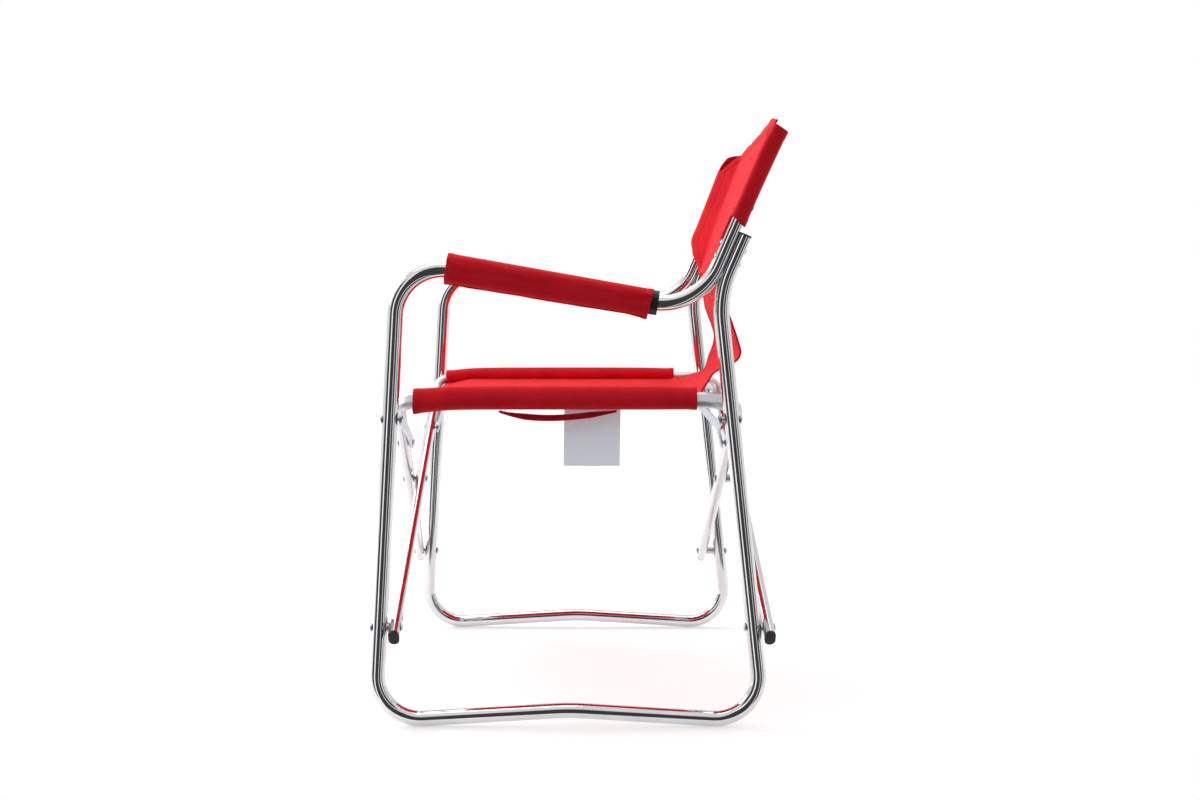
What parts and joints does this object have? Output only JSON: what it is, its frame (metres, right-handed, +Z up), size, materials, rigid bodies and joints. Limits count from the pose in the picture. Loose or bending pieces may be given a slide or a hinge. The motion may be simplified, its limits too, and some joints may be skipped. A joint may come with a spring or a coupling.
{
  "type": "folding directors chair",
  "caption": "Folding directors chair with bent tube side frames, crossed legs, padded arms and a cloth seat and back.",
  "frame": {"origin": "on the floor, at the middle of the chair's plan", "axes": "+Z up, the chair faces -Y, +X is the sitter's left"},
  "size_m": [0.6026, 0.5504, 0.7803],
  "materials": {
    "polished_tube": "polished",
    "satin_aluminium": "satin",
    "plated_steel": "plated",
    "black_plastic": "moulded",
    "red_fabric": "woven",
    "red_webbing": "webbing",
    "white_label": "blank"
  },
  "bodies": {
    "left_side": {"left_side_tube": "polished_tube", "left_leg_cap": "black_plastic", "left_post_cap": "black_plastic", "left_post_rivets": "plated_steel", "left_arm_core": "black_plastic", "left_arm_cover": "red_fabric", "left_arm_screws": "plated_steel", "left_link_pins": "plated_steel", "left_foot_bolts": "plated_steel", "left_foot_spacers": "satin_aluminium", "left_back_screws": "plated_steel", "back_panel": "red_fabric", "lower_back": "red_fabric"},
    "right_side": {"right_side_tube": "polished_tube", "right_leg_cap": "black_plastic", "right_post_cap": "black_plastic", "right_post_rivets": "plated_steel", "right_arm_core": "black_plastic", "right_arm_cover": "red_fabric", "right_arm_screws": "plated_steel", "right_link_pins": "plated_steel", "right_foot_bolts": "plated_steel", "right_foot_spacers": "satin_aluminium", "right_back_screws": "plated_steel"},
    "left_legs": {"left_leg_frame": "polished_tube", "left_leg_plugs": "black_plastic", "left_link_studs": "plated_steel", "left_seat_sleeve": "red_fabric"},
    "right_legs": {"right_leg_frame": "polished_tube", "right_leg_plugs": "black_plastic", "right_link_studs": "plated_steel", "right_seat_sleeve": "red_fabric", "cross_bolts": "plated_steel", "cross_spacers": "satin_aluminium"},
    "seat": {"seat_panel": "red_fabric", "carry_strap": "red_webbing", "hang_tag": "white_label"},
    "left_links": {"left_link": "plated_steel"},
    "right_links": {"right_link": "plated_steel"}
  },
  "joints": [
    {"name": "fold", "type": "hinge", "parent": "left_side", "child": "right_legs", "pos_m": [0.278, 0, 0.13], "axis": [0, 1, 0], "range_deg": [0, 42], "deforming": ["back_panel", "lower_back", "seat_panel"]},
    {"name": "crossing", "type": "hinge", "parent": "right_legs", "child": "left_legs", "pos_m": [0, 0, 0.2872], "axis": [0, 1, 0], "range_deg": [-84, 0]},
    {"name": "right_foot", "type": "hinge", "parent": "left_legs", "child": "right_side", "pos_m": [-0.278, 0, 0.13], "axis": [0, 1, 0], "range_deg": [0, 42]},
    {"name": "seat_level", "type": "hinge", "parent": "left_legs", "child": "seat", "pos_m": [0.23555, 0, 0.42039], "axis": [0, 1, 0], "range_deg": [0, 42]},
    {"name": "left_link_swing", "type": "hinge", "parent": "left_side", "child": "left_links", "pos_m": [0.278, 0, 0.39907], "axis": [0, 1, 0], "range_deg": [0, 85.53]},
    {"name": "right_link_swing", "type": "hinge", "parent": "right_side", "child": "right_links", "pos_m": [-0.278, 0, 0.39907], "axis": [0, 1, 0], "range_deg": [-85.53, 0]}
  ],
  "couplings": [
    {"joint": "crossing", "follows": "fold", "ratio": -2},
    {"joint": "right_foot", "follows": "fold", "ratio": 1},
    {"joint": "seat_level", "follows": "fold", "ratio": 1},
    {"joint": "left_link_swing", "follows": "fold", "ratio": 2.0362},
    {"joint": "right_link_swing", "follows": "fold", "ratio": -2.0362}
  ]
}
